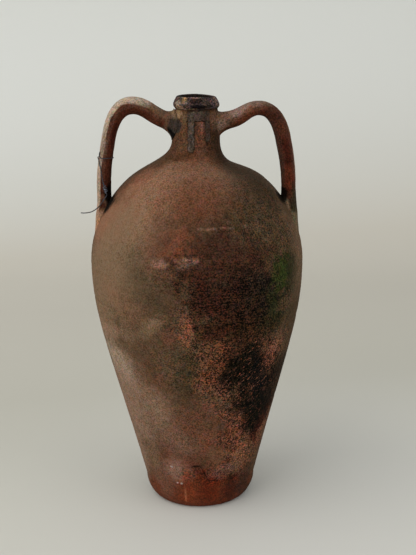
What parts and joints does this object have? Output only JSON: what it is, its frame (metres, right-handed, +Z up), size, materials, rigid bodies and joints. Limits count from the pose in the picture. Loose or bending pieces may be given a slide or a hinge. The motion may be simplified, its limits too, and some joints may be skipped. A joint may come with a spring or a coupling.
{
  "type": "two-handled olive jar",
  "caption": "Tall ovoid earthenware jar on a small foot, with a narrow collared neck and pulled handles that arch from the neck to the shoulder.",
  "frame": {"origin": "centre of the flat face that the jar stands on", "axes": "+Z up along the jar's axis and out of its mouth, X through the two handles, the side with the mortar runs faces -Y"},
  "size_m": [0.3197, 0.308, 0.6],
  "materials": {
    "foot_clay": "fired red earthenware, rubbed clean near the ground",
    "wall_clay": "weathered brown earthenware with lime bloom, moss green and soot",
    "neck_clay": "dark, stained earthenware",
    "handle_clay": "worn red-brown earthenware",
    "mortar": "hard grey sealing mortar, rough",
    "wire": "dull dark iron wire"
  },
  "bodies": {
    "root": {"foot": "foot_clay", "lower_wall": "wall_clay", "upper_wall": "wall_clay", "neck": "neck_clay", "rim_collar": "neck_clay", "left_neck_lug": "neck_clay", "right_neck_lug": "handle_clay", "left_handle": "handle_clay", "right_handle": "handle_clay", "left_foot_pad": "handle_clay", "right_foot_pad": "handle_clay", "neck_mortar": "mortar", "tie_wire": "wire", "tie_knot": "wire", "tie_tail": "wire"}
  },
  "joints": []
}
